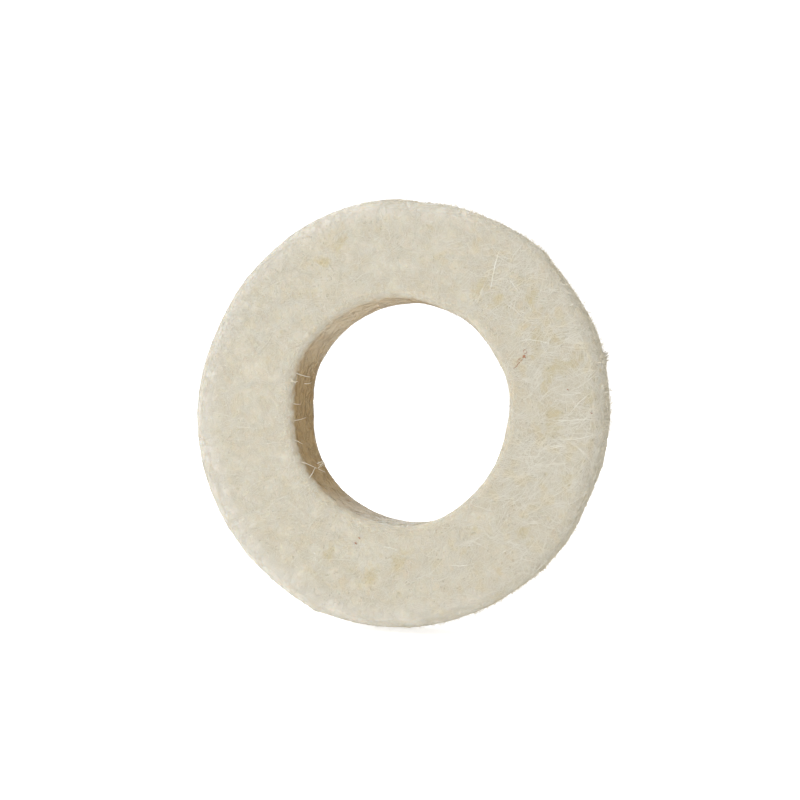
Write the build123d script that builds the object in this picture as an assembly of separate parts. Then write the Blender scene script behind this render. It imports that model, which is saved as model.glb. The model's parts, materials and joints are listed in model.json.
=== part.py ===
"""Felt polishing wheel: one flat ring of pressed wool felt, die-cut from a single thick sheet.

The ring has no hub, flange or backing. It spins about +Y, and its frame's origin is on the bore's
axis, halfway through its thickness. Every size is in millimetres.
"""

import os

from build123d import *

# Driving dimensions
BORE_DIAMETER = 15.9  # a push fit on a 5/8 in spindle or hub
OUTER_DIAMETER = 30.2
THICKNESS = 4.4

# The punch rounds the felt's corners over, a little more at the rim than at the bore.
RIM_EDGE_RADIUS = 0.8
BORE_EDGE_RADIUS = 0.6

PARTS_FOLDER = "parts"
NODE = "felt_ring"


def ring_section():
    """The ring's cross-section on one side of the axis. X is the radius, and Y runs along the axis."""
    bore_radius = BORE_DIAMETER / 2
    ring_width = OUTER_DIAMETER / 2 - bore_radius
    with BuildSketch(Plane.XY) as section:
        with Locations((bore_radius + ring_width / 2, 0)):
            Rectangle(ring_width, THICKNESS)
        fillet(section.vertices().group_by(Axis.X)[0], BORE_EDGE_RADIUS)
        fillet(section.vertices().group_by(Axis.X)[-1], RIM_EDGE_RADIUS)
    return section.sketch


def felt_ring():
    """The whole wheel, as one solid of revolution about Y."""
    with BuildPart() as ring:
        add(ring_section())
        revolve(axis=Axis.Y)
    ring.part.label = NODE
    return ring.part


def main():
    os.makedirs(PARTS_FOLDER, exist_ok=True)
    export_step(felt_ring(), os.path.join(PARTS_FOLDER, NODE + ".step"))


main()
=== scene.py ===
"""Looks for the felt polishing wheel: the felt's body, the fibres that cover it, and a plain studio.

Lengths are in millimetres until a mesh is written, which is in metres. The wheel stands upright and
spins about Y. Its skin has two coordinates: turn, the angle about the axis from +X towards +Z, and
run, the distance round the cross-section, which starts where the front face meets the rim's edge and
goes over the rim, the back and the bore to the front face again. A mark on the front face is placed
by its turn in degrees and its share of the way from the bore to the rim.
"""

import json
import math

import bpy
import numpy as np
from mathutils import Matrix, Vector


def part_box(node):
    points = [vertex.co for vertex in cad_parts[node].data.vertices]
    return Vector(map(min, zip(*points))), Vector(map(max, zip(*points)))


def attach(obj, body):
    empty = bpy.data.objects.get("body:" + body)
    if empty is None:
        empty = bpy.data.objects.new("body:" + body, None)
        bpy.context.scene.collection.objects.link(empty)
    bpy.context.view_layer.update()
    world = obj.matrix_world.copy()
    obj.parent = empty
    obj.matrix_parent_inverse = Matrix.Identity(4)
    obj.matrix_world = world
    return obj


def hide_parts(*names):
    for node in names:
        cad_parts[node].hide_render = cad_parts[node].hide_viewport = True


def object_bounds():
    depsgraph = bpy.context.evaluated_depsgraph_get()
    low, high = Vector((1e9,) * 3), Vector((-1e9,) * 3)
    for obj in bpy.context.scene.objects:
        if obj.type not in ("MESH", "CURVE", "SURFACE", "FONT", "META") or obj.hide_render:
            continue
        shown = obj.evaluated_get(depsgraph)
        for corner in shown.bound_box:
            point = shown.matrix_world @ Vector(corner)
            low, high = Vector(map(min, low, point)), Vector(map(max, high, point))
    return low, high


METRES = 0.001
FRONT = np.array([0.0, -1.0, 0.0])
BODY = "root"
NODE = "felt_ring"
SEED = 11

# Edge radii of the punched felt, and the points on each edge's arc
RIM_EDGE = 0.8
BORE_EDGE = 0.55
ARC_POINTS = 25

# Quads of the felt's body, round the axis and round the section
BODY_QUADS = (640, 155)

# The bore is punched this far off the rim's centre, shared between the two outlines
OFF_CENTRE = np.array([0.70, 0.10])

# Where the cut outlines wander: angle in degrees, half-width in degrees, and how far out in mm
RIM_WANDER = [
    (48, 10, 0.26), (18, 9, 0.15), (-20, 15, -0.16), (152, 14, -0.16), (128, 12, -0.10),
    (-174, 20, 0.10), (-112, 8, 0.10), (80, 6, -0.14), (-60, 30, -0.03), (140, 40, -0.05),
    (45.5, 1.6, 0.10), (13, 1.2, 0.10), (-46, 1.0, 0.06), (-111, 2.0, 0.10), (-31, 4, 0.05),
]
BORE_WANDER = [
    (150, 24, 0.19), (180, 13, -0.18), (68, 13, -0.12), (-74, 20, 0.20), (-120, 14, -0.03),
    (-25, 30, 0.02), (10, 16, 0.24), (45, 12, 0.05), (-160, 50, 0.04),
]

# The felt's lumps: wavelength and height in mm
LUMPS = [(3.2, 0.036), (1.3, 0.017), (0.62, 0.013), (0.34, 0.008)]

# The rim's right side is worn: how much rougher it gets, and where that fades in by radius and by X
TORN = 1.4
TORN_RADIUS = (13.4, 14.8)
TORN_X = (8, 12)

# A lying fibre: how deep its ends sink, how unevenly it lies, how it bends in radians per mm, the
# wavelength of its crimp, how its arch rises, and its thickness at the ends as a share of the middle's
SINK = 0.012
UNEVEN = 0.004
BEND = 0.35
CRIMP_WAVE = (0.9, 1.9)
ARCH = 0.6
ENDS = 0.45

# How far the fibres of one wisp lie from its middle, and how far their headings differ in radians
WISP_SPREAD = 0.13
WISP_TURN = 0.12

# How deep the root of a standing hair and of a tuft's hair sits, and how far a standing hair bows
# over in radians
HAIR_ROOT = 0.02
TUFT_ROOT = 0.03
HAIR_BOW = (0.2, 1.2)

# A listed fibre on the front face: its sideways unevenness, its rise, the sink of its ends, how
# its arch rises, and its thickness at the ends as a share of the middle's
STRAND_UNEVEN = 0.012
STRAND_RISE = 0.035
STRAND_SINK = 0.015
STRAND_ARCH = 0.5
STRAND_ENDS = 0.4

# The two walls are patterned as if both lay at this radius
WALL_RADIUS = 12.0

CREAM = (0.638, 0.590, 0.475)
PALE = (0.695, 0.655, 0.545)
STRAW = (0.64, 0.565, 0.39)
GOLD = (0.60, 0.515, 0.30)
FIBRE_GOLD = (0.78, 0.69, 0.49)
TAN = (0.63, 0.54, 0.41)
# Painted shade: the olive of the rim's shaded right side
OLIVE_SHADE = (0.47, 0.42, 0.29)
# Painted highlight: the pale of lit edges and of the bore's lit floor
PAINTED_HIGHLIGHT = (0.775, 0.745, 0.685)
# Painted shade: the dark of the felt's pits
PIT_SHADE = (0.40, 0.36, 0.26)
SHADE = (0.46, 0.37, 0.24)
# Painted shade: the brown of the bore's shaded wall
BORE_SHADE_BROWN = (0.42, 0.29, 0.14)
HUSK_DARK = (0.30, 0.12, 0.07)
HUSK_MIDDLE = (0.45, 0.22, 0.12)
HUSK_PALE = (0.55, 0.34, 0.20)

# Fibre materials: darkest and lightest colour, and whether blotches and the bore's painted shade show on
# them
FIBRES = {
    "wool_fibre": ((0.695, 0.655, 0.545), (0.775, 0.742, 0.642), True),
    "wool_fibre_combed": ((0.71, 0.67, 0.565), (0.79, 0.757, 0.655), True),
    "wool_fibre_pale": ((0.775, 0.742, 0.642), (0.89, 0.872, 0.79), True),
    # Dark fibres: painted shade for the tuft and bits on the rim's shaded right side
    "wool_fibre_painted_shade": ((0.42, 0.38, 0.28), (0.62, 0.56, 0.44), True),
    "wool_fibre_bare": ((0.76, 0.70, 0.57), (0.86, 0.81, 0.70), False),
}

# Golden blotches on the front face: turn, share and radius in mm
BLOTCHES = [
    (14, 0.75, 0.50), (8, 0.45, 0.40), (-1, 0.50, 0.50), (-7, 0.50, 0.55), (3, 0.85, 0.40),
    (25, 0.50, 0.50), (22, 0.65, 0.50), (19, 0.45, 0.40), (13, 0.60, 0.50), (13, 0.50, 0.55),
    (52, 0.40, 0.55), (43, 0.40, 0.50), (37, 0.65, 0.40), (107, 0.65, 0.45), (115, 0.55, 0.40),
    (-86, 0.35, 0.55), (-97, 0.50, 0.55), (-114, 0.45, 0.40), (-20, 0.75, 0.45), (-41, 0.65, 0.45),
]

# Long fibres on the front face: from one (turn, share) to another, then bow and radius in mm
LONG_FIBRES = [
    ((54, 0.77), (48, 0.40), -0.10, 0.034),
    ((-2, 0.64), (5, 0.88), 0.10, 0.028),
    ((-4, 0.54), (-3, 0.99), 0.18, 0.024),
    ((5, 0.56), (5, 0.78), -0.12, 0.022),
    ((15, 0.60), (15, 0.73), 0.05, 0.022),
    ((27, 0.31), (21, 0.58), 0.14, 0.022),
    ((21, 0.58), (22, 0.98), -0.25, 0.022),
    ((46, 0.58), (40, 0.57), 0.06, 0.020),
    ((36, 0.76), (32, 0.97), 0.10, 0.020),
    ((-20, 0.19), (-16, 0.49), 0.08, 0.020),
    ((-13, 0.52), (-11, 0.66), 0.05, 0.020),
    ((-117, 0.55), (-102, 0.39), 0.15, 0.018),
    ((-94, 0.21), (-86, 0.23), 0.10, 0.026),
    ((-68, 0.46), (-59, 0.57), -0.12, 0.018),
    ((9, 0.67), (10, 0.99), 0.15, 0.020),
    ((-9, 0.61), (-6, 0.94), -0.15, 0.022),
]

# Hairs over the bore's wall: from one (turn in degrees, Y, lift off the wall) to another, bow, radius
LIP_HAIRS = [
    ((160, -2.0, 0.00), (161, 0.6, 0.15), 0.05, 0.036),
    ((164, -2.1, 0.00), (165, -1.7, 0.10), 0.02, 0.046),
    ((165, -2.1, 0.00), (164, -1.6, 0.15), 0.02, 0.040),
    ((165, -0.3, 0.05), (164, 0.8, 0.15), 0.03, 0.030),
    ((176, -1.9, 0.05), (176, -0.9, 0.15), 0.03, 0.028),
    ((185, -1.9, 0.05), (183, 0.0, 0.20), 0.05, 0.030),
    ((195, -2.0, 0.05), (198, -1.1, 0.20), 0.03, 0.030),
    ((207, -2.0, 0.05), (213, -0.7, 0.30), 0.06, 0.036),
    ((217, -2.1, 0.05), (212, -0.9, 0.30), -0.05, 0.034),
    ((213, -0.7, 0.30), (209, 0.8, 0.40), 0.04, 0.030),
    ((213, -0.7, 0.30), (216, 0.2, 0.35), 0.03, 0.030),
    ((209, 0.3, 0.00), (208, 1.2, 0.45), 0.03, 0.030),
    ((210, 0.5, 0.00), (211, 1.0, 0.50), -0.04, 0.030),
    ((211, 0.7, 0.00), (209, 1.3, 0.45), 0.05, 0.028),
    ((208, 0.6, 0.00), (210, 0.9, 0.55), 0.04, 0.028),
]

# A bit of husk caught in the front face: where it is, and its loop, knot and tails as (x, z) from
# there to another (x, z), then bow and radius
HUSK_PLACE = (21, 0.30)
HUSK = [
    ((0.0, 0.1), (0.2, 0.4), 0.12, 0.024),
    ((0.0, 0.1), (0.2, 0.4), -0.12, 0.024),
    ((-0.1, -0.2), (0.1, 0.0), 0.02, 0.065),
    ((-0.1, 0.0), (0.1, -0.2), 0.02, 0.055),
    ((-0.1, -0.2), (-0.8, -0.9), 0.06, 0.022),
    ((-0.2, -0.2), (-0.5, -0.5), -0.06, 0.018),
]

# Specks of husk in the front face: turn, share and radius, and half of the one stroke each is made of
SPECKS = [(-105, 0.23, 0.050), (-104, 0.17, 0.045), (6, 0.64, 0.040), (-1, 0.86, 0.040)]
SPECK_HALF = np.array([0.07, -0.04])
SPECK_BOW = 0.02

# The room's light is bright in this direction and dark in the other
ROOM_TOWARD = (-0.6, -0.8, 0.42)
ROOM_BRIGHT = 0.90
ROOM_DARK = 0.16

# Soft lamps: name, the direction each shines from, and strength
LAMPS = [
    ("key", (-0.75, -0.62, 0.38), 0.82),
    ("top", (0.35, -0.15, 0.92), 0.74),
    ("back_fill", (-0.30, 0.80, 0.45), 0.72),
]
LAMP_WIDTH = math.radians(50)

# The floor: its size in metres, its own glow, and how much brighter it looks to the camera
FLOOR_SIZE = 6
FLOOR_GLOW = 0.24
FLOOR_LOOK = 0.42

# The camera: right of the axis and a little below it, aimed beside the wheel's centre
AZIMUTH = math.radians(19.1)
ELEVATION = math.radians(-1.8)
DISTANCE = 75.6
AIM_RIGHT = 0.36
AIM_UP = 0.89
LENS = 47.3
SENSOR = 36


def smooth(t):
    """The smooth step from 0 to 1."""
    t = np.clip(t, 0, 1)
    return t * t * (3 - 2 * t)


def ramp(value, low, high):
    """0 up to low, 1 from high on, and smooth between them. High may be below low."""
    return smooth((value - low) / (high - low))


class Noise:
    """Smooth 3-D value noise between -1 and 1, the same on every run."""

    SIDE = 64
    START = 1000.0

    def __init__(self, seed):
        self.grid = np.random.default_rng(seed).uniform(-1, 1, (self.SIDE,) * 3)

    def __call__(self, points, wavelength):
        q = points / wavelength + self.START
        cell = np.floor(q).astype(int)
        f = smooth(q - cell)
        total = 0
        for corner in np.ndindex(2, 2, 2):
            at = (cell + corner) % self.SIDE
            weight = np.prod(np.where(corner, f, 1 - f), axis=-1)
            total = total + weight * self.grid[at[..., 0], at[..., 1], at[..., 2]]
        return total


def wander(turn, lobes):
    """How far an outline stands out at each angle, as a sum of smooth bumps."""
    total = 0
    for centre, half_width, height in lobes:
        off = np.mod(turn - math.radians(centre) + math.pi, 2 * math.pi) - math.pi
        total = total + height * np.exp(-((np.degrees(off) / half_width) ** 2))
    return total


class Skin:
    """The felt's surface, from the ring's section swept about Y and then roughened."""

    def __init__(self, bore_radius, rim_radius, thickness):
        self.bore_radius = bore_radius
        self.rim_radius = rim_radius
        self.thickness = thickness
        self.noise = Noise(3)
        half = thickness / 2
        corners = [
            (rim_radius - RIM_EDGE, -half + RIM_EDGE, RIM_EDGE, -90),
            (rim_radius - RIM_EDGE, half - RIM_EDGE, RIM_EDGE, 0),
            (bore_radius + BORE_EDGE, half - BORE_EDGE, BORE_EDGE, 90),
            (bore_radius + BORE_EDGE, -half + BORE_EDGE, BORE_EDGE, 180),
        ]
        rows = []
        for r, y, radius, start in corners:
            a = np.radians(np.linspace(start, start + 90, ARC_POINTS))
            cos, sin = np.cos(a), np.sin(a)
            rows.append(np.stack([r + radius * cos, y + radius * sin, cos, sin], 1))
        self.table = np.concatenate(rows + [rows[0][:1]])
        self.at = np.concatenate([[0], np.cumsum(np.hypot(*np.diff(self.table[:, :2], axis=0).T))])
        self.length = self.at[-1]
        ends = self.at[ARC_POINTS - 1::ARC_POINTS]
        # The stretches of run that each side of the felt takes up, edges included
        self.rim = (0, ends[1])
        self.back = (ends[0] + thickness - 2 * RIM_EDGE, ends[2])
        self.bore = (ends[1] + rim_radius - bore_radius - RIM_EDGE - BORE_EDGE, ends[3])
        self.front = (ends[3] - BORE_EDGE, self.length + RIM_EDGE)

    def section(self, run):
        """Radius, Y and outward normal of the clean section at a run."""
        run = np.mod(run, self.length)
        return [np.interp(run, self.at, column) for column in self.table.T]

    def outness(self, r):
        """How much of the rim's outline, and not the bore's, a radius follows, from 0 to 1."""
        return ramp(r, self.bore_radius, self.rim_radius)

    def point(self, turn, run):
        """Points of the roughened surface and its outward normals."""
        r, y, nr, ny = self.section(run)
        out = self.outness(r)
        r = r + out * wander(turn, RIM_WANDER) + (1 - out) * wander(turn, BORE_WANDER)
        cos, sin = np.cos(turn), np.sin(turn)
        shift = (0.5 - out)[..., None] * OFF_CENTRE
        p = np.stack([r * cos + shift[..., 0], y, r * sin + shift[..., 1]], -1)
        n = np.stack([nr * cos, ny, nr * sin], -1)
        height = sum(amount * self.noise(p, wave) for wave, amount in LUMPS)
        height = height * (1 + TORN * ramp(r, *TORN_RADIUS) * ramp(p[..., 0], *TORN_X))
        return p + n * height[..., None], n

    def place(self, turn, share):
        """The x and z at a turn in degrees and a share of the way from the bore to the rim."""
        r = self.bore_radius + share * (self.rim_radius - self.bore_radius)
        turn = math.radians(turn)
        return np.array([r * math.cos(turn), r * math.sin(turn)])

    def on_front(self, x, z):
        """The turn and run of points on the front face."""
        shift = 0.5 - self.outness(np.hypot(x, z))
        x = x - shift * OFF_CENTRE[0]
        z = z - shift * OFF_CENTRE[1]
        return np.arctan2(z, x), self.length - (self.rim_radius - RIM_EDGE - np.hypot(x, z))

    def scatter(self, rng, count, stretch, likely=None):
        """Evenly spread turns and runs in a stretch of the skin, thinned by likely(turn, run)."""
        turns, runs = np.empty(0), np.empty(0)
        while len(turns) < count:
            turn = rng.uniform(0, 2 * math.pi, count)
            run = rng.uniform(*stretch, count)
            chance = self.section(run)[0] / self.rim_radius
            if likely is not None:
                chance = chance * likely(turn, run)
            keep = rng.random(count) < chance
            turns = np.append(turns, turn[keep])
            runs = np.append(runs, run[keep])
        return turns[:count], runs[:count]

    def brushed(self, turn, run):
        """How far the front face is raked up: fully on its right side, and a little on the rest."""
        r = self.section(run)[0]
        right = ramp(r * np.cos(turn), 3, 11) * ramp(np.abs(r * np.sin(turn)), 13, 7)
        return (0.12 + 0.88 * right) * ramp(r, 8.2, 9.7)


def worn(turn, run):
    """How worn the rim is: fully on its right side, and hardly at its front edge on the left."""
    front_edge = RIM_EDGE * math.pi / 2
    behind = ramp(run, front_edge, front_edge + 0.6)
    return np.maximum(ramp(np.cos(turn), -0.3, 0.5), 0.35 * behind)


def any_way(turn, rng):
    """Headings in every direction."""
    return rng.uniform(0, 2 * math.pi, len(turn))


def fan(turn, rng):
    """Headings that point mostly across the face's right side, towards the rim."""
    level = rng.normal(0.22, 0.38, len(turn))
    return level - turn + math.pi * rng.integers(0, 2, len(turn))


def write_mesh(name, points, faces, material, smooth_faces):
    """A mesh object from an array of points in mm and an array of faces with equal corners."""
    mesh = bpy.data.meshes.new(name)
    mesh.vertices.add(len(points))
    mesh.vertices.foreach_set("co", (points * METRES).astype(np.float32).ravel())
    corners = faces.shape[1]
    mesh.loops.add(faces.size)
    mesh.loops.foreach_set("vertex_index", faces.astype(np.int32).ravel())
    mesh.polygons.add(len(faces))
    mesh.polygons.foreach_set("loop_start", np.arange(0, faces.size, corners, dtype=np.int32))
    mesh.polygons.foreach_set("use_smooth", np.full(len(faces), smooth_faces))
    mesh.update(calc_edges=True)
    mesh.validate()
    mesh.materials.append(material)
    thing = bpy.data.objects.new(name, mesh)
    bpy.context.scene.collection.objects.link(thing)
    return thing


def felt_body(skin, material):
    """The felt itself, as one closed skin."""
    around, across = BODY_QUADS
    turn, run = np.meshgrid(np.arange(around) / around * 2 * math.pi,
                            np.arange(across) / across * skin.length, indexing="ij")
    points, _ = skin.point(turn, run)
    index = np.arange(around * across).reshape(around, across)
    ahead, over = np.roll(index, -1, 0), np.roll(index, -1, 1)
    both = np.roll(ahead, -1, 1)
    faces = np.stack([index, over, both, ahead], -1).reshape(-1, 4)
    return write_mesh("felt_body", points.reshape(-1, 3), faces, material, True)


def tube_faces(steps):
    """Triangles of one three-sided tube: its first point, its rings of three, then its last point."""
    faces = []
    last = 1 + 3 * (steps - 3)
    for k in range(3):
        j = (k + 1) % 3
        faces.append((0, 1 + k, 1 + j))
        for i in range(steps - 3):
            a, b = 1 + 3 * i + k, 1 + 3 * i + j
            faces += [(a, a + 3, b), (b, a + 3, b + 3)]
        faces.append((last + k, last + 3, last + j))
    return np.array(faces)


def unit(vectors):
    """The vectors at length 1. A zero vector stays zero."""
    return vectors / (np.linalg.norm(vectors, axis=-1, keepdims=True) + 1e-9)


def tubes(name, path, normal, radius, material):
    """Closed three-sided tubes, flat side out, with pointed ends, on paths of shape (count, steps, 3)."""
    count, steps, _ = path.shape
    tangent = unit(np.gradient(path, axis=1))
    side = unit(np.cross(tangent, normal))
    up = np.cross(side, tangent)
    rings = []
    for a in np.radians([30, 150, 270]):
        rings.append(path + radius[..., None] * (math.cos(a) * side + math.sin(a) * up))
    inner = np.stack(rings, 2)[:, 1:-1].reshape(count, -1, 3)
    points = np.concatenate([path[:, :1], inner, path[:, -1:]], 1)
    faces = tube_faces(steps) + (np.arange(count) * points.shape[1])[:, None, None]
    return write_mesh(name, points.reshape(-1, 3), faces.reshape(-1, 3), material, False)


def arched(steps, power):
    """0 at both ends and 1 in the middle. The lower the power, the flatter the top."""
    return np.sin(math.pi * np.linspace(0, 1, steps))[None] ** power


def walk(skin, turn, run, ways, step):
    """The turns and runs passed by fibres that take one step in each of their ways."""
    turns, runs = [], []
    for way in ways.T:
        turns.append(turn)
        runs.append(run)
        run = run + np.cos(way) * step
        turn = turn + np.sin(way) * step / skin.section(run)[0]
    return np.stack(turns, 1), np.stack(runs, 1)


def lay_fibres(skin, rng, name, count, stretch, material, length, radius, rise, steps,
               likely=None, heading=any_way, crimp=0.35, wisp=1):
    """Fibres that lie along the felt's surface, dipping into it at both ends, in groups of wisp."""
    turn, run = skin.scatter(rng, count // wisp, stretch, likely)
    aim = heading(turn, rng)
    bend = rng.normal(0, BEND, len(turn))
    phase = rng.uniform(0, 2 * math.pi, len(turn))
    turn, run, aim, bend, phase = (np.repeat(v, wisp) for v in (turn, run, aim, bend, phase))
    count = len(turn)
    if wisp > 1:
        run = run + rng.normal(0, WISP_SPREAD, count)
        turn = turn + rng.normal(0, WISP_SPREAD, count) / skin.section(run)[0]
        aim = aim + rng.normal(0, WISP_TURN, count)
    step = rng.uniform(*length, count) / (steps - 1)
    wave = rng.uniform(*CRIMP_WAVE, count)
    gone = np.arange(steps) * step[:, None]
    curl = np.sin(phase[:, None] + 2 * math.pi * gone / wave[:, None])
    ways = aim[:, None] + bend[:, None] * gone + crimp * curl
    path, normal = skin.point(*walk(skin, turn, run, ways, step))
    arch = arched(steps, ARCH)
    height = arch * rng.uniform(*rise, (count, 1)) - SINK * (1 - arch)
    height = height + rng.normal(0, UNEVEN, (count, steps))
    thick = rng.uniform(*radius, (count, 1)) * (ENDS + (1 - ENDS) * arch)
    return tubes(name, path + normal * height[..., None], normal, thick, material)


def stand_hairs(skin, rng, name, count, stretch, material, length, radius, lean, likely=None):
    """Short hairs that rise out of the felt and bow over. lean is in degrees from the normal."""
    steps = 5
    turn, run = skin.scatter(rng, count, stretch, likely)
    root, normal = skin.point(turn, run)
    step = rng.uniform(*length, (count, 1)) / (steps - 1)
    along = np.cross(normal, rng.normal(size=(count, 3)))
    along /= np.linalg.norm(along, axis=-1, keepdims=True)
    tilt = np.radians(rng.uniform(*lean, (count, 1)))
    bow = rng.uniform(*HAIR_BOW, (count, 1))
    path = [root - HAIR_ROOT * normal]
    for i in range(steps - 1):
        a = tilt + bow * i / steps
        path.append(path[-1] + step * (np.cos(a) * normal + np.sin(a) * along))
    path = np.stack(path, 1)
    thick = rng.uniform(*radius, (count, 1)) * np.linspace(1, 0.5, steps)
    return tubes(name, path, np.repeat(normal[:, None], steps, 1), thick, material)


def bowed(start, end, bow, steps):
    """Points on a curve from start to end that bows sideways in its first two coordinates."""
    start, end = np.array(start, float), np.array(end, float)
    t = np.linspace(0, 1, steps)[:, None]
    side = np.zeros(len(start))
    side[:2] = (start[1] - end[1], end[0] - start[0])
    side /= np.linalg.norm(side)
    return start + (end - start) * t + side * bow * 4 * t * (1 - t)


def front_strands(skin, rng, name, strands, material):
    """Listed fibres on the front face. Each is (x, z) to (x, z), a bow and a radius, in mm."""
    steps = 12
    flat = np.stack([bowed(start, end, bow, steps) for start, end, bow, _ in strands])
    flat = flat + rng.normal(0, STRAND_UNEVEN, flat.shape)
    path, normal = skin.point(*skin.on_front(flat[..., 0], flat[..., 1]))
    arch = arched(steps, STRAND_ARCH)
    path = path + normal * (arch * STRAND_RISE - STRAND_SINK)[..., None]
    radius = np.array([radius for *_, radius in strands])[:, None]
    return tubes(name, path, normal, radius * (STRAND_ENDS + (1 - STRAND_ENDS) * arch), material)


def long_fibre_strands(skin):
    """LONG_FIBRES with their ends as x and z."""
    return [(skin.place(*start), skin.place(*end), bow, radius)
            for start, end, bow, radius in LONG_FIBRES]


def husk_strands(skin):
    """The husk and its specks as strands with their ends as x and z."""
    middle = skin.place(*HUSK_PLACE)
    strands = [(middle + start, middle + end, bow, radius) for start, end, bow, radius in HUSK]
    for turn, share, radius in SPECKS:
        middle = skin.place(turn, share)
        strands.append((middle - SPECK_HALF, middle + SPECK_HALF, SPECK_BOW, radius))
    return strands


def wall_strands(skin, name, hairs, material):
    """Listed hairs over the bore's wall, with their ends placed as in LIP_HAIRS."""
    steps = 9
    runs = np.linspace(*skin.bore, 200)
    levels = skin.section(runs)[1]
    t = np.linspace(0, 1, steps)
    arch = 4 * t * (1 - t)
    paths = np.stack([bowed(start, end, 0, steps) for start, end, *_ in hairs])
    bow, radius = np.array([hair[2:] for hair in hairs]).T[..., None]
    turn = np.radians(paths[..., 0]) + bow * arch / skin.bore_radius
    path, normal = skin.point(turn, np.interp(-paths[..., 1], -levels, runs))
    path = path + normal * (paths[..., 2] + 0.5 * np.abs(bow) * arch)[..., None]
    return tubes(name, path, FRONT + 0.5 * normal, radius * (1 - 0.5 * t), material)


def tuft(skin, rng, name, count, turn, y, spread, length, radius, lean, material):
    """A knot of short hairs round one place on the rim, at a turn in degrees and a Y in mm."""
    steps = 6
    turns = math.radians(turn) + rng.normal(0, spread, count) / skin.rim_radius
    middle = y + skin.thickness / 2 - RIM_EDGE + RIM_EDGE * math.pi / 2
    root, normal = skin.point(turns, middle + rng.normal(0, spread, count))
    along = np.array(lean) + rng.normal(0, 0.45, (count, 3))
    long = rng.uniform(*length, (count, 1, 1))
    t = np.linspace(0, 1, steps)[None, :, None]
    curl = np.cross(normal, along)[:, None] * 0.4 * t * t
    root = root[:, None] - TUFT_ROOT * normal[:, None]
    path = root + long * (t * (normal + along * 0.5)[:, None] + curl)
    thick = rng.uniform(*radius, (count, 1)) * (1 - 0.4 * t[..., 0])
    return tubes(name, path, np.repeat(normal[:, None], steps, 1), thick, material)


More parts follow.
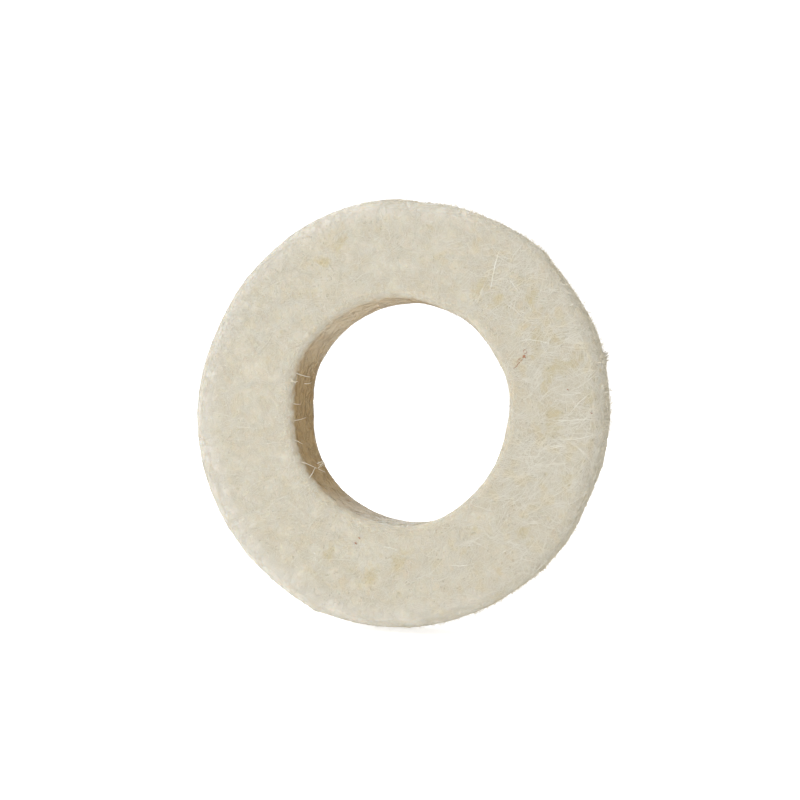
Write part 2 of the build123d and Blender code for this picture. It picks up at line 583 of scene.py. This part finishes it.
class Graph:
    """Short calls that add nodes to a material and join them up."""

    def __init__(self, name):
        self.material = bpy.data.materials.new(name)
        self.material.use_nodes = True
        self.nodes = self.material.node_tree.nodes
        self.links = self.material.node_tree.links
        self.shader = self.nodes["Principled BSDF"]
        self.place = self.nodes.new("ShaderNodeTexCoord").outputs["Object"]

    def feed(self, socket, value):
        """Gives a socket a link, a colour or a plain value."""
        if isinstance(value, bpy.types.NodeSocket):
            self.links.new(value, socket)
        elif isinstance(value, tuple) and len(value) == 3 and socket.type == "RGBA":
            socket.default_value = (*value, 1)
        else:
            socket.default_value = value

    def set(self, **inputs):
        """Feeds the shader's inputs, named with _ for each space."""
        for name, value in inputs.items():
            self.feed(self.shader.inputs[name.replace("_", " ")], value)

    def math(self, operation, a, b=0.0):
        node = self.nodes.new("ShaderNodeMath")
        node.operation = operation
        self.feed(node.inputs[0], a)
        self.feed(node.inputs[1], b)
        return node.outputs[0]

    def times(self, first, *others):
        """All the values multiplied together."""
        for other in others:
            first = self.math("MULTIPLY", first, other)
        return first

    def vector(self, x, y, z):
        """The vector of three values."""
        node = self.nodes.new("ShaderNodeCombineXYZ")
        for socket, value in zip(node.inputs, (x, y, z)):
            self.feed(socket, value)
        return node.outputs[0]

    def length(self, x, z):
        """The length of (x, z)."""
        squares = self.math("ADD", self.math("POWER", x, 2.0), self.math("POWER", z, 2.0))
        return self.math("SQRT", squares)

    def position(self):
        """X, Y, Z and the radius about the axis, in mm."""
        split = self.nodes.new("ShaderNodeSeparateXYZ")
        self.feed(split.inputs[0], self.place)
        x, y, z = (self.times(split.outputs[i], 1 / METRES) for i in range(3))
        return x, y, z, self.length(x, z)

    def island(self):
        """A random number for each separate fibre."""
        return self.nodes.new("ShaderNodeNewGeometry").outputs["Random Per Island"]

    def noise(self, size, detail, shift=0.0, rough=0.5):
        """Noise with features of about size mm."""
        moved = self.nodes.new("ShaderNodeVectorMath")
        moved.operation = "ADD"
        self.feed(moved.inputs[0], self.place)
        moved.inputs[1].default_value = (shift, shift, shift)
        node = self.nodes.new("ShaderNodeTexNoise")
        self.feed(node.inputs["Vector"], moved.outputs[0])
        node.inputs["Scale"].default_value = 1 / (size * METRES)
        node.inputs["Detail"].default_value = detail
        node.inputs["Roughness"].default_value = rough
        return node.outputs["Fac"]

    def streaks(self, size, length, shift=0.0):
        """Noise drawn out along the wheel's walls, in marks of about size by length mm."""
        x, y, z, _ = self.position()
        round_wall = self.times(self.math("ARCTAN2", z, x), WALL_RADIUS)
        total = 0.0
        for slant in (-0.45, 0.1, 0.6):
            cos, sin = math.cos(slant), math.sin(slant)
            across = self.math("ADD", self.times(y, cos), self.times(round_wall, sin))
            ahead = self.math("SUBTRACT", self.times(round_wall, cos), self.times(y, sin))
            drawn = self.vector(self.times(ahead, 1 / length), self.times(across, 1 / size), slant + shift)
            node = self.nodes.new("ShaderNodeTexNoise")
            self.feed(node.inputs["Vector"], drawn)
            node.inputs["Scale"].default_value = 1.0
            node.inputs["Detail"].default_value = 1.0
            total = self.math("MAXIMUM", total, node.outputs["Fac"])
        return total

    def step(self, value, low, high, to_low=0.0, to_high=1.0):
        """value mapped smoothly from low..high to to_low..to_high."""
        node = self.nodes.new("ShaderNodeMapRange")
        node.interpolation_type = "SMOOTHSTEP"
        ends = {"From Min": low, "From Max": high, "To Min": to_low, "To Max": to_high}
        self.feed(node.inputs["Value"], value)
        for name, end in ends.items():
            self.feed(node.inputs[name], end)
        return node.outputs["Result"]

    def band(self, value, rise, fall):
        """1 between a rise and a fall, each of them from one value to another."""
        return self.times(self.step(value, *rise), self.step(value, *fall))

    def mix(self, share, a, b):
        """A share of colour b over colour a."""
        node = self.nodes.new("ShaderNodeMix")
        node.data_type = "RGBA"
        for index, value in ((0, share), (6, a), (7, b)):
            self.feed(node.inputs[index], value)
        return node.outputs[2]

    def tint(self, colour, other, *shares):
        """colour with the other over it, by the product of the shares."""
        return self.mix(self.times(*shares), colour, other)

    def spots(self, skin, places, wobble):
        """1 inside round places on the front face (turn, share, radius in mm), with a ragged edge."""
        x, y, z, _ = self.position()
        flat = self.vector(x, 0.0, z)
        found = 0.0
        for turn, share, radius in places:
            across, up = skin.place(turn, share)
            away = self.nodes.new("ShaderNodeVectorMath")
            away.operation = "DISTANCE"
            self.feed(away.inputs[0], flat)
            away.inputs[1].default_value = (across, 0, up)
            ragged = self.math("ADD", away.outputs["Value"], wobble)
            found = self.math("MAXIMUM", found, self.step(ragged, radius * 1.5, radius * 0.3))
        return self.times(found, self.step(y, -1.0, -1.6))

    def bump(self, height, depth, strength):
        """A bumped normal from a height between 0 and 1, over a depth in mm."""
        node = self.nodes.new("ShaderNodeBump")
        node.inputs["Strength"].default_value = strength
        node.inputs["Distance"].default_value = depth * METRES
        self.feed(node.inputs["Height"], height)
        return node.outputs["Normal"]


def blotches(g, skin):
    """Where the golden blotches are."""
    wobble = g.step(g.noise(0.5, 2, 0.2), 0.25, 0.75, -0.3, 0.3)
    return g.spots(skin, BLOTCHES, wobble)


def face_colour(g, skin):
    """The mottled colour of the felt's faces, with a painted highlight that makes it paler towards the
    rim.
    """
    x, _, _, r = g.position()
    colour = g.mix(g.step(g.noise(0.9, 4), 0.35, 0.65), CREAM, PALE)
    middle = g.band(r, (8.6, 9.8), (15.2, 13.6))
    straw = g.step(g.noise(1.1, 2, 0.3), 0.57, 0.68)
    colour = g.tint(colour, STRAW, straw, g.times(middle, g.step(x, -6, 8, 0.25, 0.55)))
    tan = g.step(g.noise(1.6, 2, 0.7), 0.60, 0.70)
    colour = g.tint(colour, TAN, tan, middle, 0.25)
    colour = g.tint(colour, GOLD, blotches(g, skin), 0.55)
    # Painted highlight: the rim's edge paler, most on the left side, which faces the light
    edge = g.step(r, skin.rim_radius - 2.1, skin.rim_radius - 0.3)
    return g.tint(colour, PAINTED_HIGHLIGHT, edge, g.step(x, 9, 3, 0.10, 0.74))


def right_rim_painted_shade(g, skin, colour):
    """colour with painted shade on the rim's right side: olive in patches on its wall, and finely round
    its edge.
    """
    x, _, z, r = g.position()
    wall = g.step(r, skin.rim_radius - 0.7, skin.rim_radius - 0.2)
    # Painted shade on the rim's right side, in patches on its wall and finely round its edge
    patches = g.times(wall, g.step(g.noise(0.55, 3, 0.6), 0.48, 0.62))
    colour = g.tint(colour, OLIVE_SHADE, patches, g.times(g.step(x, 9, 13, 0.0, 0.7), g.step(z, 9, 5)))
    fine = g.times(g.step(g.noise(0.32, 3, 0.8, 0.6), 0.54, 0.64), g.step(r, 13.2, 14.4))
    return g.tint(colour, OLIVE_SHADE, fine, g.times(g.step(x, 10, 12.5, 0.0, 0.55), g.step(z, 8, 5)))


def bore_floor_painted_light(g, skin, colour):
    """colour with a painted highlight on the bottom of the bore's wall, and a little painted shade on the
    lip in front of it.
    """
    _, y, z, r = g.position()
    # Painted highlight on the bottom of the bore's wall, which faces up
    under = g.times(g.step(r, skin.bore_radius + 0.8, skin.bore_radius + 0.4), g.step(z, -5.2, -7.2))
    flat = g.step(g.math("ABSOLUTE", y), skin.thickness / 2 - 0.25, skin.thickness / 2 - 0.6)
    colour = g.tint(colour, PAINTED_HIGHLIGHT, under, flat, 0.9)
    # Painted shade on the lip in front of it
    lip = g.step(r, skin.bore_radius + 1.0, skin.bore_radius + 0.6)
    return g.tint(colour, SHADE, lip, g.step(z, -5.0, -7.0, 0.0, 0.08))


def bore_painted_shade(g, skin):
    """How much painted shade browns the bore's wall: most on its left, and less round the rest of it."""
    x, y, z, _ = g.position()
    x = g.math("ADD", x, -OFF_CENTRE[0] / 2)
    r = g.length(x, z)
    ragged = g.step(g.noise(0.5, 3), 0.3, 0.7, -0.12, 0.12)
    depth = g.math("ADD", g.math("ABSOLUTE", y), ragged)
    inside = g.times(g.step(r, skin.bore_radius + 0.7, skin.bore_radius + 0.4),
                     g.step(depth, skin.thickness / 2 - 0.05, skin.thickness / 2 - 0.75))
    level = g.math("DIVIDE", z, r)
    aside = g.math("DIVIDE", x, r)
    left = g.times(g.step(aside, -0.15, -0.88, 0.0, 0.93), g.step(level, 0.2, 0.7, 1.0, 0.70))
    lower_left = g.times(g.step(aside, 0.0, -0.65, 0.0, 0.60), g.step(level, -0.3, -0.6))
    top = g.step(level, 0.2, 0.9, 0.0, 0.60)
    return g.times(inside, g.math("MAXIMUM", g.math("MAXIMUM", left, lower_left), top))


def felt_material(skin):
    """The felt's body: mottled, pitted on its faces with painted shade in the pits, and streaked with
    fibres on its two walls.
    """
    g = Graph("wool_felt_body")
    x, _, _, r = g.position()
    colour = bore_floor_painted_light(g, skin, right_rim_painted_shade(g, skin, face_colour(g, skin)))

    middle = g.band(r, (8.4, 9.2), (15.0, 13.8))
    pit = g.times(g.step(g.noise(0.24, 1, 0.9), 0.60, 0.72), g.step(g.noise(1.8, 1, 0.5), 0.38, 0.55))
    # Painted shade in the pits
    colour = g.tint(colour, PIT_SHADE, pit, middle, 0.45)
    grain = g.noise(0.10, 2, 0.1)
    colour = g.mix(g.step(grain, 0.3, 0.7, 0.10, 0.0), colour, SHADE)
    # Painted shade: the face's right side a little darker
    colour = g.tint(colour, SHADE, g.step(x, 3, 9), 0.08)

    outer = g.math("GREATER_THAN", r, skin.rim_radius - 0.6)
    inner = g.math("LESS_THAN", r, skin.bore_radius + 0.6)
    walls = g.math("MAXIMUM", outer, inner)
    strand = g.times(g.step(g.streaks(0.10, 1.1), 0.50, 0.68), walls)
    colour = g.tint(colour, PALE, strand, 0.45)
    # Painted shade in the gaps between the walls' fibre streaks
    painted_gap_shade = g.step(g.streaks(0.12, 0.8, 5.0), 0.62, 0.74)
    colour = g.tint(colour, SHADE, painted_gap_shade, walls, 0.20)
    # Painted shade: the bore's wall browned, most on its left
    colour = g.mix(bore_painted_shade(g, skin), colour, BORE_SHADE_BROWN)

    height = g.math("SUBTRACT", g.noise(0.14, 3, 0.4, 0.6), g.times(pit, 0.5))
    height = g.math("ADD", height, g.times(strand, 0.4))
    g.set(Base_Color=colour, Roughness=g.step(grain, 0.3, 0.7, 1.0, 0.85), Specular_IOR_Level=0.15)
    g.set(Normal=g.bump(height, 0.022, 0.8))
    g.set(Subsurface_Weight=1.0, Subsurface_Radius=(1.0, 0.8, 0.6), Subsurface_Scale=0.25 * METRES)
    return g.material


def fibre_material(name, skin, dark, light, blotched_and_shaded):
    """Wool fibres between two colours, each with its own tone and roughness, and blotches and the bore's
    painted shade when blotched_and_shaded.
    """
    g = Graph(name)
    hair = g.island()
    golden = g.step(g.noise(1.1, 2, 0.3), 0.55, 0.68)
    colour = g.tint(g.mix(hair, dark, light), FIBRE_GOLD, golden, 0.35)
    if blotched_and_shaded:
        colour = g.tint(colour, GOLD, blotches(g, skin), 0.25)
        # The bore's painted shade on the fibres inside the bore
        colour = g.mix(bore_painted_shade(g, skin), colour, BORE_SHADE_BROWN)
    g.set(Base_Color=colour, Roughness=g.step(hair, 0, 1, 0.5, 0.75), Specular_IOR_Level=0.25)
    g.set(Normal=g.bump(g.noise(0.03, 1), 0.002, 0.5))
    return g.material


def husk_material():
    """Bits of seed husk caught in the wool."""
    g = Graph("burr_husk")
    grain = g.noise(0.05, 2)
    colour = g.mix(g.step(grain, 0.35, 0.65), g.mix(g.island(), HUSK_DARK, HUSK_PALE), HUSK_MIDDLE)
    g.set(Base_Color=colour, Roughness=g.step(grain, 0.3, 0.7, 0.5, 0.8))
    g.set(Normal=g.bump(grain, 0.01, 0.6))
    return g.material


def laid_coats(skin, rng, wool, combed):
    """The coats that lie along the felt: a short nap, then longer fibres, then wisps."""
    nap = dict(material=wool, length=(0.4, 1.3), radius=(0.007, 0.011), rise=(0, 0.02), steps=5)
    rim_nap = dict(nap, length=(0.3, 1.1), radius=(0.007, 0.012))
    bore_nap = dict(nap, length=(0.3, 1.1), radius=(0.006, 0.010), rise=(0, 0.01))
    fibres = dict(material=wool, length=(1.2, 3.6), radius=(0.009, 0.015), rise=(0, 0.02), steps=9)
    rim_fibres = dict(material=wool, length=(0.6, 2.4), radius=(0.011, 0.020), rise=(0, 0.03), steps=8,
                      likely=worn)
    rim_wisps = dict(rim_fibres, length=(0.6, 2.0), radius=(0.013, 0.024), rise=(0, 0.05),
                     crimp=0.2, wisp=4)
    bore_fibres = dict(fibres, length=(0.6, 1.8), radius=(0.010, 0.018), steps=8)
    wisps = dict(material=combed, length=(1.0, 3.2), radius=(0.011, 0.019), rise=(0, 0.035), steps=10,
                 crimp=0.15, wisp=4)
    coats = [
        ("front_nap", 7500, skin.front, nap),
        ("back_nap", 7500, skin.back, nap),
        ("rim_nap", 7000, skin.rim, rim_nap),
        ("bore_nap", 3000, skin.bore, bore_nap),
        ("front_fibres", 2600, skin.front, fibres),
        ("back_fibres", 2600, skin.back, fibres),
        ("rim_fibres", 2200, skin.rim, rim_fibres),
        ("rim_wisps", 1500, skin.rim, rim_wisps),
        ("bore_fibres", 900, skin.bore, bore_fibres),
        ("front_wisps", 1300, skin.front, dict(wisps, likely=skin.brushed, heading=fan)),
        ("back_wisps", 1300, skin.back, wisps),
    ]
    return [lay_fibres(skin, rng, name, count, stretch, **coat) for name, count, stretch, coat in coats]


def fuzz(skin, rng, pale, bare):
    """Short hairs standing up from the whole wheel, from its rim, and from the bore's front lip."""
    everywhere = (0, skin.length)
    lip = (skin.bore[1] - 0.3, skin.front[0] + 0.7)
    return [
        stand_hairs(skin, rng, "face_fuzz", 7000, everywhere, pale, (0.10, 0.45), (0.006, 0.011),
                    (25, 80)),
        stand_hairs(skin, rng, "rim_fuzz", 5500, skin.rim, bare, (0.15, 0.60), (0.009, 0.015),
                    (15, 80), likely=worn),
        stand_hairs(skin, rng, "lip_fuzz", 900, lip, bare, (0.15, 0.5), (0.008, 0.013), (30, 85)),
    ]


def marks(skin, rng, pale, bare, dark):
    """What is placed one by one: long fibres, hairs over the bore, husk, and knots on the rim."""
    tufts = [
        # The tuft and the bits on the rim's right side are dark fibres: painted shade
        ("rim_tuft", 34, 14, 0.9, 0.15, (0.12, 0.36), (0.016, 0.026), (0.2, 0.2, 0.5), dark),
        ("rim_hairs", 5, -46, 0.8, 0.12, (0.25, 0.45), (0.016, 0.024), (0, 0, 0), bare),
        ("rim_bits", 30, 0, -1.2, 1.5, (0.10, 0.30), (0.012, 0.022), (0, -0.3, 0.2), dark),
    ]
    return [
        front_strands(skin, rng, "long_fibres", long_fibre_strands(skin), pale),
        wall_strands(skin, "lip_hairs", LIP_HAIRS, bare),
        front_strands(skin, rng, "burrs", husk_strands(skin), husk_material()),
        *(tuft(skin, rng, *row) for row in tufts),
    ]


def wheel(skin, rng):
    """Every piece of the wheel: the felt's body, which stands for the CAD node, and its fibres."""
    looks = (fibre_material(name, skin, *look) for name, look in FIBRES.items())
    wool, combed, pale, dark, bare = looks
    body = felt_body(skin, felt_material(skin))
    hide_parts(NODE)
    pieces = [body, *laid_coats(skin, rng, wool, combed), *fuzz(skin, rng, pale, bare)]
    return pieces + marks(skin, rng, pale, bare, dark)


def studio_world():
    """White to the camera, and a soft room that is brightest from the front left to everything else."""
    world = bpy.data.worlds.new("studio")
    bpy.context.scene.world = world
    world.use_nodes = True
    nodes, links = world.node_tree.nodes, world.node_tree.links
    place = nodes.new("ShaderNodeTexCoord")
    dot = nodes.new("ShaderNodeVectorMath")
    dot.operation = "DOT_PRODUCT"
    dot.inputs[1].default_value = Vector(ROOM_TOWARD).normalized()
    links.new(place.outputs["Generated"], dot.inputs[0])
    room = nodes.new("ShaderNodeMapRange")
    room.interpolation_type = "SMOOTHSTEP"
    room.inputs["From Min"].default_value = -1
    room.inputs["From Max"].default_value = 1
    room.inputs["To Min"].default_value = ROOM_DARK
    room.inputs["To Max"].default_value = ROOM_BRIGHT
    links.new(dot.outputs["Value"], room.inputs["Value"])
    path = nodes.new("ShaderNodeLightPath")
    lift = nodes.new("ShaderNodeMath")
    lift.operation = "ADD"
    links.new(room.outputs["Result"], lift.inputs[0])
    links.new(path.outputs["Is Camera Ray"], lift.inputs[1])
    nodes["Background"].inputs["Color"].default_value = (1, 1, 1, 1)
    links.new(lift.outputs["Value"], nodes["Background"].inputs["Strength"])


def lamps():
    """The soft, distant lamps."""
    for name, toward, strength in LAMPS:
        data = bpy.data.lights.new(name, "SUN")
        data.energy, data.angle = strength, LAMP_WIDTH
        lamp = bpy.data.objects.new(name, data)
        lamp.rotation_euler = Vector(toward).to_track_quat("Z", "Y").to_euler()
        bpy.context.scene.collection.objects.link(lamp)


def floor_material():
    """Matt and pale, with a glow of its own that is stronger to the camera."""
    material = bpy.data.materials.new("pale_floor")
    material.use_nodes = True
    nodes, links = material.node_tree.nodes, material.node_tree.links
    shader = nodes["Principled BSDF"]
    shader.inputs["Base Color"].default_value = (0.9, 0.9, 0.9, 1)
    shader.inputs["Roughness"].default_value = 1
    shader.inputs["Specular IOR Level"].default_value = 0
    shader.inputs["Emission Color"].default_value = (1, 1, 1, 1)
    path = nodes.new("ShaderNodeLightPath")
    lift = nodes.new("ShaderNodeMath")
    lift.operation = "MULTIPLY_ADD"
    lift.inputs[1].default_value = FLOOR_LOOK
    lift.inputs[2].default_value = FLOOR_GLOW
    links.new(path.outputs["Is Camera Ray"], lift.inputs[0])
    links.new(lift.outputs["Value"], shader.inputs["Emission Strength"])
    return material


def studio(floor_height):
    """The room, its lamps and its floor."""
    bpy.context.scene.view_settings.view_transform = "Standard"
    studio_world()
    lamps()
    bpy.ops.mesh.primitive_plane_add(size=FLOOR_SIZE, location=(0, 0, floor_height))
    floor = bpy.context.object
    floor.name = "floor"
    floor.data.materials.append(floor_material())


def camera(centre):
    """The view, from the right of the axis and a little below it."""
    back = Vector((math.sin(AZIMUTH) * math.cos(ELEVATION), -math.cos(AZIMUTH) * math.cos(ELEVATION),
                   math.sin(ELEVATION)))
    turn = back.to_track_quat("Z", "Y")
    right, up = turn @ Vector((1, 0, 0)), turn @ Vector((0, 1, 0))
    data = bpy.data.cameras.new("camera")
    data.sensor_width, data.lens = SENSOR, LENS
    data.clip_start = 0.001
    cam = bpy.data.objects.new("camera", data)
    cam.location = centre + (back * DISTANCE + right * AIM_RIGHT + up * AIM_UP) * METRES
    cam.rotation_mode = "QUATERNION"
    cam.rotation_quaternion = turn
    bpy.context.scene.collection.objects.link(cam)
    bpy.context.scene.camera = cam


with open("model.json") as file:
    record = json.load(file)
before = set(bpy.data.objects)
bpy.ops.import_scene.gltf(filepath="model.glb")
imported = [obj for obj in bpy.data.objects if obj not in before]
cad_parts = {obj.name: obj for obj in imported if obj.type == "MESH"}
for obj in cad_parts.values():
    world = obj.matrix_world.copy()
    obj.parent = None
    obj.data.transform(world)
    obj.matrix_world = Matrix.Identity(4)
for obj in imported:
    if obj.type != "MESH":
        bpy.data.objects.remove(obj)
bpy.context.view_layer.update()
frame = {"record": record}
low, high = (np.array(corner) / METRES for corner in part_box(NODE))
bore = next(mount for mount in frame["record"]["mounts"] if mount["name"] == "bore")
skin = Skin(bore["dims"]["r_mm"], (high - low)[0] / 2, (high - low)[1])
for piece in wheel(skin, np.random.default_rng(SEED)):
    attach(piece, BODY)

low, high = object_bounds()
studio(low.z)
camera(Vector((-OFF_CENTRE[0] / 2 * METRES, 0, -OFF_CENTRE[1] / 2 * METRES)))
